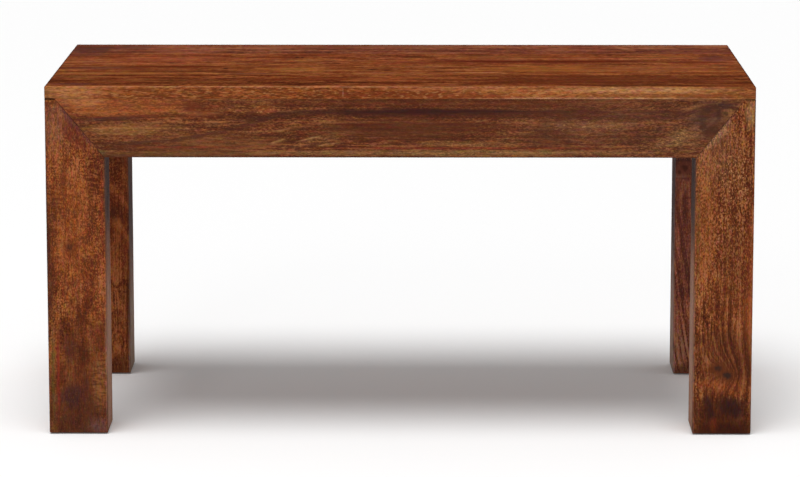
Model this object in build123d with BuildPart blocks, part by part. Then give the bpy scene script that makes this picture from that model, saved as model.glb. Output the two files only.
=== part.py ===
from build123d import *
import os
from math import sqrt

# A low backless bench in solid dark-stained timber, in millimetres. Four square legs carry four rails that
# are mitred over the leg tops, and a seat of edge-glued boards lies flush on that frame. The origin is on
# the floor under the middle of the bench, X runs along its length, the front faces -Y and Z is up.

# Whole bench
bench_length = 900.0
bench_depth = 450.0
bench_height = 450.0

# Seat boards, from the front to the rear, each a share of the bench's depth
top_thickness = 16.0
board_width_shares = (0.262, 0.237, 0.266, 0.235)
board_names = ("top_board_front", "top_board_front_middle", "top_board_rear_middle", "top_board_rear")

# Legs
leg_side = 75.0
leg_shortfall = 0.4  # the legs stop this far under the seat, so that the rails carry it
foot_chamfer = 1.0

# Rails, with a mitred tongue at each end that is housed in the face of the leg
rail_height = 75.0
rail_thickness = 25.0
tongue_depth = 10.0

# Edges and glue lines
arris_radius = 1.5
seam_arris = 0.4  # eased edges along the visible joints
glue_gap = 0.1

# Dowels between the rail shoulders and the legs
dowel_radius = 4.0
dowel_length = 48.0
dowel_chamfer = 0.8
dowel_clearance = 0.1
dowel_end_gap = 1.0
dowel_height_shares = (0.28, 0.72)  # of the rail's height

# Braces across the inner corners of the frame
brace_thickness = 25.0
brace_height = 45.0
brace_notch = 6.0  # how deep the leg's corner lies in the back of the brace
brace_screw_height_shares = (0.25, 0.75)  # of the brace's height
brace_top_screw_share = 0.55  # of the brace's half length
brace_head_sink = 1.0  # how deep the rail screws' heads lie under the slanting face

# Bearer across the middle of the frame, with a stub tenon at each end
bearer_width = 50.0
bearer_height = 40.0
tenon_length = 10.0
tenon_width = 28.0
tenon_height = 20.0

# Cleats along the rails
cleat_side = 22.0
cleat_length = 100.0
end_cleat_share = 0.68  # of the end rail's run between its braces
cleat_place_share = 0.18  # of the bench's length, from the middle to a cleat on a long rail
cleat_rail_screw_share = 0.35  # of a cleat's length, from its middle
cleat_top_screw_share = 0.15

# Countersunk wood screws
screw_radius = 2.0
screw_head_radius = 4.0
screw_clearance = 0.1
screw_point = 5.0
frame_screw_length = 30.0
cleat_screw_length = 35.0
leg_screw_length = 50.0
top_screw_length = 30.0
top_screw_bite_share = 0.6  # of the seat's thickness
recess_arm = 0.9
recess_span_share = 0.55  # of the head's width
recess_depth = 2.0
recess_taper_angle = 12.0  # degrees
screw_tip_gap = 0.5

# Glides let into the feet
glide_radius = 12.0
glide_thickness = 4.0
glide_stand = 1.5  # how far a glide stands out under the foot
glide_rounding = 0.8
glide_clearance = 0.2
glide_screw_radius = 1.5
glide_screw_head_radius = 3.0
glide_screw_length = 16.0
glide_screw_sink = 0.6  # how far the head lies above the glide's face

# Places worked out from these sizes
half_length = bench_length / 2
half_depth = bench_depth / 2
frame_top = bench_height - top_thickness
rail_bottom = frame_top - rail_height
leg_top = frame_top - leg_shortfall
leg_height = leg_top - glide_stand
leg_inner_x = half_length - leg_side
leg_inner_y = half_depth - leg_side
shoulder_thickness = rail_thickness - tongue_depth
rail_inner_x = half_length - rail_thickness
rail_inner_y = half_depth - rail_thickness
mitre_rise = rail_height + top_thickness  # the mitre points at the outer top corner of the seat
mitre_land = leg_side * top_thickness / mitre_rise
mitre_slope = mitre_rise / leg_side
mouth_shift = seam_arris * sqrt(1 + mitre_slope**2) / mitre_slope
dowel_depth = dowel_length / 2 + dowel_end_gap
screw_hole_radius = screw_radius + screw_clearance
screw_sink_radius = screw_head_radius + screw_clearance
top_screw_seat = frame_top + top_thickness * top_screw_bite_share - top_screw_length
countersink_angle = 90.0
arris_angle = 45.0
left, right, front, rear = -1, 1, -1, 1
corners = {
    "front_left": (left, front),
    "front_right": (right, front),
    "rear_left": (left, rear),
    "rear_right": (right, rear),
}


def write(piece, name):
    """Names a finished piece and writes its file."""
    piece.label = name
    export_step(piece, f"parts/{name}.step")


def at_corner(seat, side, end):
    """A drilling plane of the front left corner, mirrored to the corner on that side and end."""
    flip_x, flip_y = side / left, end / front
    origin, normal = seat.origin, seat.z_dir
    return Plane(
        origin=(origin.X * flip_x, origin.Y * flip_y, origin.Z),
        z_dir=(normal.X * flip_x, normal.Y * flip_y, normal.Z),
    )


def mirrored(piece, side, end):
    """A piece of the front left corner, mirrored to the corner on that side and end."""
    if side == right:
        piece = mirror(piece, about=Plane.YZ, mode=Mode.PRIVATE)
    if end == rear:
        piece = mirror(piece, about=Plane.XZ, mode=Mode.PRIVATE)
    return piece


def make_screws(seats, length, radius, head_radius):
    """One screw on each seat, a plane in the top of its head."""
    recess_span = head_radius * 2 * recess_span_share
    depth = recess_depth * head_radius / screw_head_radius
    with BuildPart() as screw:
        with BuildSketch(Plane.XZ):
            with BuildLine():
                Polyline(
                    (0, 0),
                    (head_radius, 0),
                    (radius, radius - head_radius),
                    (radius, screw_point - length),
                    (0, -length),
                    close=True,
                )
            make_face()
        revolve(axis=Axis.Z)
        with BuildSketch():
            Rectangle(recess_span, recess_arm)
            Rectangle(recess_arm, recess_span)
        extrude(amount=-depth, taper=recess_taper_angle, mode=Mode.SUBTRACT)
    with BuildPart() as screws:
        with Locations(*seats):
            add(screw.part)
    return screws


# Drilling planes of the front left corner. Each lies in the top of a screw's head, or in a joint for a
# dowel, and its normal points back along the drill.
brace_base = Plane(
    origin=(-leg_inner_x, -leg_inner_y, frame_top - brace_height), x_dir=(1, -1, 0), z_dir=(0, 0, 1)
)
brace_back = -brace_notch
brace_front = brace_thickness - brace_notch
brace_middle = (brace_back + brace_front) / 2
brace_gap = glue_gap * sqrt(2)
corner_to_rail = (leg_side - rail_thickness) * sqrt(2)


def brace_reach(depth):
    """Half the brace's length at that depth, measured inwards from the leg's corner."""
    return corner_to_rail + depth - brace_gap


head_lift = (brace_front - brace_middle) * sqrt(2) - screw_sink_radius - brace_head_sink
brace_rail_seats = []
brace_end_seats = []
for share in brace_screw_height_shares:
    height = brace_height * share
    on_rail = brace_base.from_local_coords(Vector(brace_reach(brace_middle), brace_middle, height))
    on_end = brace_base.from_local_coords(Vector(-brace_reach(brace_middle), brace_middle, height))
    brace_rail_seats.append(
        Plane(origin=on_rail + Vector(0, head_lift, 0), x_dir=(1, 0, 0), z_dir=(0, 1, 0))
    )
    brace_end_seats.append(
        Plane(origin=on_end + Vector(head_lift, 0, 0), x_dir=(0, 1, 0), z_dir=(1, 0, 0))
    )

brace_leg_seat = Plane(
    origin=brace_base.from_local_coords(Vector(0, brace_front, brace_height / 2)), z_dir=(1, 1, 0)
)
brace_top_place = brace_base.from_local_coords(
    Vector(brace_reach(brace_middle) * brace_top_screw_share, brace_middle, 0)
)
brace_top_seat = Plane(origin=(brace_top_place.X, brace_top_place.Y, top_screw_seat), z_dir=(0, 0, -1))

rail_dowel_seats = []
end_dowel_seats = []
shoulder_middle = tongue_depth + shoulder_thickness / 2
for share in dowel_height_shares:
    height = rail_bottom + rail_height * share
    rail_dowel_seats.append(
        Plane(origin=(-leg_inner_x, -half_depth + shoulder_middle, height), z_dir=(1, 0, 0))
    )
    end_dowel_seats.append(
        Plane(origin=(-half_length + shoulder_middle, -leg_inner_y, height), z_dir=(0, 1, 0))
    )

# Drilling planes of the cleats: one on the front rail's left half, and one on the left end rail
cleat_x = -bench_length * cleat_place_share
cleat_screw_height = frame_top - cleat_side / 2
cleat_screw_step = cleat_length * cleat_rail_screw_share
cleat_top_step = cleat_length * cleat_top_screw_share
brace_end = brace_base.from_local_coords(Vector(-brace_reach(brace_front), brace_front, 0))
end_cleat_length = -2 * brace_end.Y * end_cleat_share
end_cleat_screw_step = end_cleat_length * cleat_rail_screw_share
end_cleat_top_step = end_cleat_length * cleat_top_screw_share
long_cleat_seats = [
    Plane(origin=(cleat_x + step, -rail_inner_y + cleat_side, cleat_screw_height), z_dir=(0, 1, 0))
    for step in (-cleat_screw_step, cleat_screw_step)
]
long_cleat_top_seats = [
    Plane(origin=(cleat_x + step, -rail_inner_y + cleat_side / 2, top_screw_seat), z_dir=(0, 0, -1))
    for step in (-cleat_top_step, cleat_top_step)
]
end_cleat_seats = [
    Plane(origin=(-rail_inner_x + cleat_side, step, cleat_screw_height), z_dir=(1, 0, 0))
    for step in (-end_cleat_screw_step, end_cleat_screw_step)
]
end_cleat_top_seats = [
    Plane(origin=(-rail_inner_x + cleat_side / 2, step, top_screw_seat), z_dir=(0, 0, -1))
    for step in (-end_cleat_top_step, end_cleat_top_step)
]

# The seat boards' edges, from the front to the rear, and one bearer screw under the middle of each board
board_edges = [-half_depth]
for share in board_width_shares[:-1]:
    board_edges.append(board_edges[-1] + bench_depth * share)
board_edges.append(half_depth)
bearer_top_seats = [
    Plane(origin=(0, (near + far) / 2, top_screw_seat), z_dir=(0, 0, -1))
    for near, far in zip(board_edges, board_edges[1:])
]

# Every screw of each kind
frame_screw_seats = [
    at_corner(seat, side, end)
    for seat in brace_rail_seats + brace_end_seats
    for side, end in corners.values()
]
leg_screw_seats = [at_corner(brace_leg_seat, side, end) for side, end in corners.values()]
cleat_screw_seats = [
    at_corner(seat, side, end) for seat in long_cleat_seats for side, end in corners.values()
] + [at_corner(seat, side, front) for seat in end_cleat_seats for side in (left, right)]
top_screw_seats = (
    [
        at_corner(seat, side, end)
        for seat in [brace_top_seat] + long_cleat_top_seats
        for side, end in corners.values()
    ]
    + [at_corner(seat, side, front) for seat in end_cleat_top_seats for side in (left, right)]
    + bearer_top_seats
)

foot_centre = (-half_length + leg_side / 2, -half_depth + leg_side / 2)
glide_screw_seat = Plane(origin=(*foot_centre, glide_screw_sink), z_dir=(0, 0, -1))
glide_screw_seats = [at_corner(glide_screw_seat, side, end) for side, end in corners.values()]

os.makedirs("parts", exist_ok=True)

# The seat with its edges eased and its screw holes bored, and the boards cut from it
with BuildPart() as seat:
    with BuildSketch(Plane.XY.offset(frame_top)):
        Rectangle(bench_length, bench_depth)
    extrude(amount=top_thickness)
    fillet(seat.edges().filter_by(Axis.Z) + seat.edges().group_by(Axis.Z)[-1], arris_radius)
    chamfer(seat.edges().group_by(Axis.Z)[0], seam_arris)
    with Locations(*top_screw_seats):
        Hole(screw_hole_radius, depth=top_screw_length + screw_tip_gap)

for name, near, far in zip(board_names, board_edges, board_edges[1:]):
    with BuildPart() as board:
        add(seat.part)
        with BuildSketch(Plane.XY.offset(frame_top)):
            with Locations((0, (near + far) / 2)):
                Rectangle(bench_length, far - near)
        extrude(amount=top_thickness, mode=Mode.INTERSECT)
    write(board.part, name)


def housing_outline(heel):
    """A triangle whose long side runs up the mitre from its heel, at the height of the rail's underside."""
    return [
        (heel - leg_side, rail_bottom + mitre_rise),
        (heel + leg_side, rail_bottom - mitre_rise),
        (heel + leg_side, rail_bottom + mitre_rise),
    ]


# Leg of the front left corner: two mitred housings for the rails' tongues, and holes for the dowels
with BuildPart() as leg:
    with BuildSketch(Plane.XY.offset(glide_stand)):
        with Locations(foot_centre):
            Rectangle(leg_side, leg_side)
    extrude(amount=leg_height)
    fillet(leg.edges().filter_by(Axis.Z), arris_radius)
    chamfer(leg.faces().sort_by(Axis.Z)[0].edges(), foot_chamfer)
    chamfer(leg.faces().sort_by(Axis.Z)[-1].edges(), seam_arris)
    for face, outer_edge, inwards in (
        (Plane.XZ.offset(half_depth), -half_length, -1),
        (Plane.YZ.offset(-half_length), -half_depth, 1),
    ):
        heel = outer_edge + leg_side - glue_gap
        with BuildSketch(face):
            with BuildLine():
                Polyline(*housing_outline(heel), close=True)
            make_face()
        extrude(amount=inwards * tongue_depth, mode=Mode.SUBTRACT)
        with BuildSketch(face):
            with BuildLine():
                Polyline(*housing_outline(heel - mouth_shift), close=True)
            make_face()
        extrude(amount=inwards * seam_arris, taper=arris_angle, mode=Mode.SUBTRACT)
    with Locations(*rail_dowel_seats, *end_dowel_seats):
        Cylinder(dowel_radius + dowel_clearance, dowel_depth * 2, mode=Mode.SUBTRACT)
    with Locations(brace_leg_seat):
        Hole(screw_hole_radius, depth=leg_screw_length + screw_tip_gap)
    with Locations(Plane(origin=(*foot_centre, glide_stand), z_dir=(0, 0, -1))):
        Hole(glide_radius + glide_clearance, depth=glide_thickness - glide_stand)
    with Locations(glide_screw_seat):
        Hole(glide_screw_radius + screw_clearance, depth=glide_screw_length + screw_tip_gap)

# Dowels of the front left corner
with BuildPart() as dowels:
    with Locations(*rail_dowel_seats, *end_dowel_seats):
        Cylinder(dowel_radius, dowel_length)
    chamfer(dowels.edges().filter_by(GeomType.CIRCLE), dowel_chamfer)

# Brace of the front left corner
with BuildPart() as brace:
    with BuildSketch(brace_base):
        with BuildLine():
            Polyline(
                (-brace_reach(brace_back), brace_back),
                (-brace_notch - brace_gap, brace_back),
                (0, brace_gap),
                (brace_notch + brace_gap, brace_back),
                (brace_reach(brace_back), brace_back),
                (brace_reach(brace_front), brace_front),
                (-brace_reach(brace_front), brace_front),
                close=True,
            )
        make_face()
    extrude(amount=brace_height)
    with Locations(*brace_rail_seats, *brace_end_seats):
        CounterSinkHole(screw_hole_radius, screw_sink_radius, frame_screw_length, countersink_angle)
    with Locations(brace_leg_seat):
        CounterSinkHole(screw_hole_radius, screw_sink_radius, leg_screw_length, countersink_angle)
    with Locations(brace_top_seat):
        CounterSinkHole(screw_hole_radius, screw_sink_radius, brace_height, countersink_angle)

# Glide of the front left foot
with BuildPart() as glide:
    with BuildSketch():
        with Locations(foot_centre):
            Circle(glide_radius)
    extrude(amount=glide_thickness)
    fillet(glide.edges().group_by(Axis.Z)[0], glide_rounding)
    with Locations(glide_screw_seat):
        CounterSinkHole(
            glide_screw_radius + screw_clearance,
            glide_screw_head_radius + screw_clearance,
            glide_thickness,
            countersink_angle,
        )

for corner, (side, end) in corners.items():
    write(mirrored(leg.part, side, end), f"leg_{corner}")
    write(mirrored(dowels.part, side, end), f"rail_dowels_{corner}")
    write(mirrored(brace.part, side, end), f"corner_brace_{corner}")
    write(mirrored(glide.part, side, end), f"foot_glide_{corner}")


def tongued_outline(half_run):
    """A rail's outer layer, seen square on: its shoulders and the mitred tongues beyond them."""
    shoulder = half_run - leg_side
    tip = half_run - mitre_land
    return [(-shoulder, rail_bottom), (shoulder, rail_bottom), (tip, frame_top), (-tip, frame_top)]


# Front rail, mortised for the bearer
front_face = Plane.XZ.offset(half_depth)
with BuildPart() as long_rail:
    with BuildSketch(front_face):
        with BuildLine():
            Polyline(*tongued_outline(half_length), close=True)
        make_face()
    extrude(amount=-tongue_depth)
    chamfer(long_rail.faces().sort_by(Axis.Y)[0].edges().sort_by(Axis.Z)[1:], seam_arris)
    with BuildSketch(front_face.offset(-tongue_depth)):
        with Locations((0, rail_bottom + rail_height / 2)):
            Rectangle(leg_inner_x * 2, rail_height)
    extrude(amount=-shoulder_thickness)
    lower_edges = long_rail.edges().filter_by(Axis.X).group_by(Axis.Z)[0]
    fillet(lower_edges, arris_radius)
    with BuildSketch(front_face.offset(-rail_thickness)):
        with Locations((0, frame_top - bearer_height / 2)):
            Rectangle(tenon_width + glue_gap * 2, tenon_height + glue_gap * 2)
    extrude(amount=tenon_length + glue_gap, mode=Mode.SUBTRACT)
    with Locations(*[at_corner(seat, side, front) for seat in rail_dowel_seats for side in (left, right)]):
        Cylinder(dowel_radius + dowel_clearance, dowel_depth * 2, mode=Mode.SUBTRACT)
    with Locations(*[at_corner(seat, side, front) for seat in brace_rail_seats for side in (left, right)]):
        Hole(screw_hole_radius, depth=frame_screw_length + screw_tip_gap)
    with Locations(*[at_corner(seat, side, front) for seat in long_cleat_seats for side in (left, right)]):
        Hole(screw_hole_radius, depth=cleat_screw_length + screw_tip_gap)
write(long_rail.part, "rail_front")
write(mirrored(long_rail.part, left, rear), "rail_rear")

# Left end rail
left_face = Plane.YZ.offset(-half_length)
with BuildPart() as end_rail:
    with BuildSketch(left_face):
        with BuildLine():
            Polyline(*tongued_outline(half_depth), close=True)
        make_face()
    extrude(amount=tongue_depth)
    chamfer(end_rail.faces().sort_by(Axis.X)[0].edges().sort_by(Axis.Z)[1:], seam_arris)
    with BuildSketch(left_face.offset(tongue_depth)):
        with Locations((0, rail_bottom + rail_height / 2)):
            Rectangle(leg_inner_y * 2, rail_height)
    extrude(amount=shoulder_thickness)
    lower_edges = end_rail.edges().filter_by(Axis.Y).group_by(Axis.Z)[0]
    fillet(lower_edges, arris_radius)
    with Locations(*[at_corner(seat, left, end) for seat in end_dowel_seats for end in (front, rear)]):
        Cylinder(dowel_radius + dowel_clearance, dowel_depth * 2, mode=Mode.SUBTRACT)
    with Locations(*[at_corner(seat, left, end) for seat in brace_end_seats for end in (front, rear)]):
        Hole(screw_hole_radius, depth=frame_screw_length + screw_tip_gap)
    with Locations(*end_cleat_seats):
        Hole(screw_hole_radius, depth=cleat_screw_length + screw_tip_gap)
write(end_rail.part, "rail_left")
write(mirrored(end_rail.part, right, front), "rail_right")

# Bearer across the middle, tenoned into the front and rear rails
with BuildPart() as bearer:
    with BuildSketch(Plane.XZ.offset(-rail_inner_y)):
        with Locations((0, frame_top - bearer_height / 2)):
            Rectangle(bearer_width, bearer_height)
    extrude(amount=rail_inner_y * 2)
    with BuildSketch(Plane.XZ.offset(-rail_inner_y - tenon_length)):
        with Locations((0, frame_top - bearer_height / 2)):
            Rectangle(tenon_width, tenon_height)
    extrude(amount=(rail_inner_y + tenon_length) * 2)
    with Locations(*bearer_top_seats):
        CounterSinkHole(screw_hole_radius, screw_sink_radius, bearer_height, countersink_angle)
write(bearer.part, "centre_bearer")

# Cleat on the front rail's left half
with BuildPart() as long_cleat:
    with BuildSketch(Plane.XY.offset(frame_top - cleat_side)):
        with Locations((cleat_x, -rail_inner_y + cleat_side / 2)):
            Rectangle(cleat_length, cleat_side)
    extrude(amount=cleat_side)
    with Locations(*long_cleat_seats):
        CounterSinkHole(screw_hole_radius, screw_sink_radius, cleat_side, countersink_angle)
    with Locations(*long_cleat_top_seats):
        CounterSinkHole(screw_hole_radius, screw_sink_radius, cleat_side, countersink_angle)
for corner, (side, end) in corners.items():
    write(mirrored(long_cleat.part, side, end), f"cleat_{corner}")

# Cleat on the left end rail
with BuildPart() as end_cleat:
    with BuildSketch(Plane.XY.offset(frame_top - cleat_side)):
        with Locations((-rail_inner_x + cleat_side / 2, 0)):
            Rectangle(cleat_side, end_cleat_length)
    extrude(amount=cleat_side)
    with Locations(*end_cleat_seats):
        CounterSinkHole(screw_hole_radius, screw_sink_radius, cleat_side, countersink_angle)
    with Locations(*end_cleat_top_seats):
        CounterSinkHole(screw_hole_radius, screw_sink_radius, cleat_side, countersink_angle)
write(end_cleat.part, "cleat_left_end")
write(mirrored(end_cleat.part, right, front), "cleat_right_end")

# Screws, one node for each kind
for name, seats, length in (
    ("brace_rail_screws", frame_screw_seats, frame_screw_length),
    ("brace_leg_screws", leg_screw_seats, leg_screw_length),
    ("cleat_rail_screws", cleat_screw_seats, cleat_screw_length),
    ("top_screws", top_screw_seats, top_screw_length),
):
    screws = make_screws(seats, length, screw_radius, screw_head_radius)
    write(screws.part, name)
glide_screws = make_screws(
    glide_screw_seats, glide_screw_length, glide_screw_radius, glide_screw_head_radius
)
write(glide_screws.part, "glide_screws")
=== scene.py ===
from math import hypot, pi, radians
import bpy
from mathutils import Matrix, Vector


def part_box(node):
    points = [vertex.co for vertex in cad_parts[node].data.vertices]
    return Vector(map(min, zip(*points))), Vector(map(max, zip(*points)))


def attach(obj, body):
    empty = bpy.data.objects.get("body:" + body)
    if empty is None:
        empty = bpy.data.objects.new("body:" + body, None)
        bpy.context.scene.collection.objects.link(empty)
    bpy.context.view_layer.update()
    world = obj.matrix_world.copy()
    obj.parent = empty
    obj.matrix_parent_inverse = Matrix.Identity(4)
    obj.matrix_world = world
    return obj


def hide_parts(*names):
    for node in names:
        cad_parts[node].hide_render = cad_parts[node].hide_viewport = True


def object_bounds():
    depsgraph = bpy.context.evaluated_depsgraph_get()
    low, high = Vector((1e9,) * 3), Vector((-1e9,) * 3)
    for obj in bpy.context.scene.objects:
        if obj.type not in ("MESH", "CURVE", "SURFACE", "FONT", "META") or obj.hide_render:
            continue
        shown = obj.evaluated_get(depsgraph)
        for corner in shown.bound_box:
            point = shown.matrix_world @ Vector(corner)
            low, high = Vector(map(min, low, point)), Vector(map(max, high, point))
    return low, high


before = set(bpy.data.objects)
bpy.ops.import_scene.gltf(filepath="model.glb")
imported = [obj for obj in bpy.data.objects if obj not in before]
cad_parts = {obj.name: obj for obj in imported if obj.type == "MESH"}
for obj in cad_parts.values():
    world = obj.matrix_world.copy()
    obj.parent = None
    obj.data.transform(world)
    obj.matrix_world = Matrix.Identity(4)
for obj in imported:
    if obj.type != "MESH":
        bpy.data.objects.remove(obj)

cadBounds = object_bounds()
scene = bpy.context.scene
scene.view_settings.view_transform = "Standard"
mm = 0.001

# The bench's own sizes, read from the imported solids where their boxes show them
seatHigh = Vector(cadBounds[1])
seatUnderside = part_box("top_board_front")[0].z
halfLength = seatHigh.x
halfDepth = seatHigh.y
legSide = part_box("leg_front_left")[1].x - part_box("leg_front_left")[0].x
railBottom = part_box("rail_front")[0].z
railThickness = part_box("rail_front")[1].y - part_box("rail_front")[0].y
tongueDepth = 10 * mm
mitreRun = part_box("rail_front")[1].x - (halfLength - legSide)
mitreRise = seatUnderside - railBottom
mitreLength = hypot(mitreRun, mitreRise)
mitreTilt = 0.876  # radians, of the stains that run along the mitres
near = 0.5 * mm  # an edge or face this close to a plane lies on it
touching = 0.05 * mm
straight = 0.9  # the least share of a direction along an axis, to count as along it
smoothBelow = radians(40)  # faces that meet flatter than this are shaded as one
print("frame loaded:", len(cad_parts), "nodes")

# Camera and light

view = {
    "place": (0.0309, -4.8818, 1.0563),
    "tilt": 80.24,
    "turn": 0.379,
    "lens": 167.15,
}

studio = {
    "ambient": 0.35,
    "sunStrength": 2.2,
    "sunSpread": 40,
    "sunTilt": (14, -5, 0),
    "fillPlace": (-0.8, -3.6, 1.5),
    "fillSize": 2.2,
    "fillPower": 30,
    "floorTone": 0.95,
    "floorGlow": 0.04,  # share of plain white that the camera sees in the floor
    "floorSize": 60,
}
white = (1, 1, 1, 1)


def addCamera(settings):
    lens = bpy.data.cameras.new("benchCamera")
    lens.lens = settings["lens"]
    lens.clip_end = 100
    camera = bpy.data.objects.new("benchCamera", lens)
    camera.location = settings["place"]
    camera.rotation_euler = (radians(settings["tilt"]), 0, radians(settings["turn"]))
    scene.collection.objects.link(camera)
    scene.camera = camera


def feed(tree, socket, value):
    # a socket is linked, anything else is written on the input itself
    if isinstance(value, bpy.types.NodeSocket):
        tree.links.new(value, socket)
    elif value is not None:
        socket.default_value = value


def newNode(tree, kind, **settings):
    node = tree.nodes.new(kind)
    for name, value in settings.items():
        setattr(node, name, value)
    return node


def shaderNode(tree, kind, values):
    # a node whose inputs are given by their names
    node = newNode(tree, kind)
    for name, value in values.items():
        feed(tree, node.inputs[name], value)
    return node.outputs[0] if node.outputs else None


def maths(tree, operation, first, second=None, third=None, clamp=False):
    node = newNode(tree, "ShaderNodeMath", operation=operation, use_clamp=clamp)
    for socket, value in zip(node.inputs, (first, second, third)):
        feed(tree, socket, value)
    return node.outputs[0]


def vectorMaths(tree, operation, first, second=None, scale=None):
    node = newNode(tree, "ShaderNodeVectorMath", operation=operation)
    feed(tree, node.inputs[0], first)
    feed(tree, node.inputs[1], second)
    feed(tree, node.inputs[3], scale)
    return node.outputs[1 if operation in ("LENGTH", "DOT_PRODUCT") else 0]


def remap(tree, value, low, high, outLow=0.0, outHigh=1.0):
    node = newNode(tree, "ShaderNodeMapRange", interpolation_type="SMOOTHSTEP")
    for socket, number in zip(node.inputs, (value, low, high, outLow, outHigh)):
        feed(tree, socket, number)
    return node.outputs["Result"]


def noise(tree, vector, detail=2.0, roughness=0.5, distortion=0.0, scale=1.0, w=None):
    node = newNode(tree, "ShaderNodeTexNoise", noise_dimensions="3D" if w is None else "1D")
    values = {"Scale": scale, "Detail": detail, "Roughness": roughness, "Distortion": distortion}
    values["Vector" if w is None else "W"] = vector if w is None else w
    for name, value in values.items():
        feed(tree, node.inputs[name], value)
    return node.outputs


def mapping(tree, vector, kind="POINT", **values):
    node = newNode(tree, "ShaderNodeMapping", vector_type=kind)
    for name, value in dict(values, Vector=vector).items():
        feed(tree, node.inputs[name], value)
    return node.outputs[0]


def blendColour(tree, factor, first, second, mode="MIX"):
    node = newNode(tree, "ShaderNodeMix", data_type="RGBA", blend_type=mode)
    for index, value in ((0, factor), (6, first), (7, second)):
        feed(tree, node.inputs[index], value)
    return node.outputs[2]


def seenRays(tree):
    # 1 for the rays that show the surface, 0 for those that carry its light to the bench
    rays = newNode(tree, "ShaderNodeLightPath").outputs
    seen = maths(tree, "MAXIMUM", rays["Is Camera Ray"], rays["Is Glossy Ray"])
    return maths(tree, "MAXIMUM", seen, rays["Is Transmission Ray"])


def mixInto(tree, outputKind, share, first, second):
    mixed = newNode(tree, "ShaderNodeMixShader")
    for socket, value in zip(mixed.inputs, (share, first, second)):
        feed(tree, socket, value)
    shaderNode(tree, outputKind, {"Surface": mixed.outputs[0]})


def newMaterial(name):
    material = bpy.data.materials.new(name)
    material.use_nodes = True
    material.node_tree.nodes.clear()
    return material, material.node_tree


def addLight(settings):
    lamp = bpy.data.lights.new("softSun", "SUN")
    lamp.energy = settings["sunStrength"]
    lamp.angle = radians(settings["sunSpread"])
    sun = bpy.data.objects.new("softSun", lamp)
    sun.rotation_euler = [radians(turn) for turn in settings["sunTilt"]]
    scene.collection.objects.link(sun)

    lamp = bpy.data.lights.new("frontFill", "AREA")
    lamp.shape = "SQUARE"
    lamp.size = settings["fillSize"]
    lamp.energy = settings["fillPower"]
    fill = bpy.data.objects.new("frontFill", lamp)
    fill.location = settings["fillPlace"]
    aim = Vector((0, 0, seatHigh.z / 2)) - fill.location
    fill.rotation_euler = aim.to_track_quat("-Z", "Y").to_euler()
    scene.collection.objects.link(fill)

    scene.world = bpy.data.worlds.new("studioWorld")
    scene.world.use_nodes = True
    tree = scene.world.node_tree
    tree.nodes.clear()
    dim, plain = (shaderNode(tree, "ShaderNodeBackground", {"Color": white, "Strength": strength})
                  for strength in (settings["ambient"], 1.0))
    mixInto(tree, "ShaderNodeOutputWorld", seenRays(tree), dim, plain)


def addFloor(settings):
    bpy.ops.object.select_all(action="DESELECT")
    bpy.ops.mesh.primitive_plane_add(size=settings["floorSize"], location=(0, 0, 0))
    floor = bpy.context.object
    floor.name = "studioFloor"
    material, tree = newMaterial("palePaper")
    paper = shaderNode(tree, "ShaderNodeBsdfDiffuse", {"Color": (settings["floorTone"],) * 3 + (1,)})
    glow = shaderNode(tree, "ShaderNodeEmission", {"Color": white})
    share = maths(tree, "MULTIPLY", seenRays(tree), settings["floorGlow"])
    mixInto(tree, "ShaderNodeOutputMaterial", share, paper, glow)
    floor.data.materials.append(material)


addCamera(view)
addLight(studio)
addFloor(studio)
print("camera, light and floor placed")

# Wood shader groups. Each takes places in metres and puts out masks or values that change over the surface

# along and across the grain, for the marks that are alike in every wood
commonMarks = {
    "sway": 1 / 12,
    "swirl": (0.03, 0.014, 0.014),
    "specks": (0.009, 0.0018, 0.0018),
    "pores": (0.006, 0.0006, 0.0006),
    "curl": (0.0024, 0.009, 0.009),
}
# where each mask starts, and where it is full
maskEdges = {
    "sparks": (0.56, 0.72),
    "specks": (0.42, 0.28),
    "pores": (0.6, 0.74),
    "patch": (1.0, 0.25),
    "core": (1.1, 0.35),
    "halo": (2.6, 0.8),
    "wear": (1.0, 0.2),
    "rubbed": (0.3, 0.7),
    "drift": (0.35, 0.65),
}
breakScale = {"patch": 2.6, "knot": 1.4, "wear": 60.0}  # of the noise that breaks up each mask's edge
knotEdge = {"ragged": 1.2, "fade": -0.45}  # how far it wanders, and how fast the pull fades
wearReach = (0.1, 1.8)  # least and most, as shares of the wear's width
middle = (0.5, 0.5, 0.5)  # what a noise's colour swings about


def newGroup(name, inputs, outputs, hues=None):
    # every group reads a place; an input is a vector where its value has three numbers
    group = bpy.data.node_groups.new(name, "ShaderNodeTree")
    sockets = [(part, "OUTPUT", "Color" if part == hues else "Float", None) for part in outputs]
    sockets += [("Vector", "INPUT", "Vector", None)]
    sockets += [(part, "INPUT", "Vector" if isinstance(value, tuple) else "Float", value)
                for part, value in inputs.items()]
    for part, side, kind, value in sockets:
        socket = group.interface.new_socket(part, in_out=side, socket_type="NodeSocket" + kind)
        if value is not None:
            socket.default_value = value
    start = newNode(group, "NodeGroupInput")
    end = newNode(group, "NodeGroupOutput")
    return group, start.outputs, end.inputs


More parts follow.
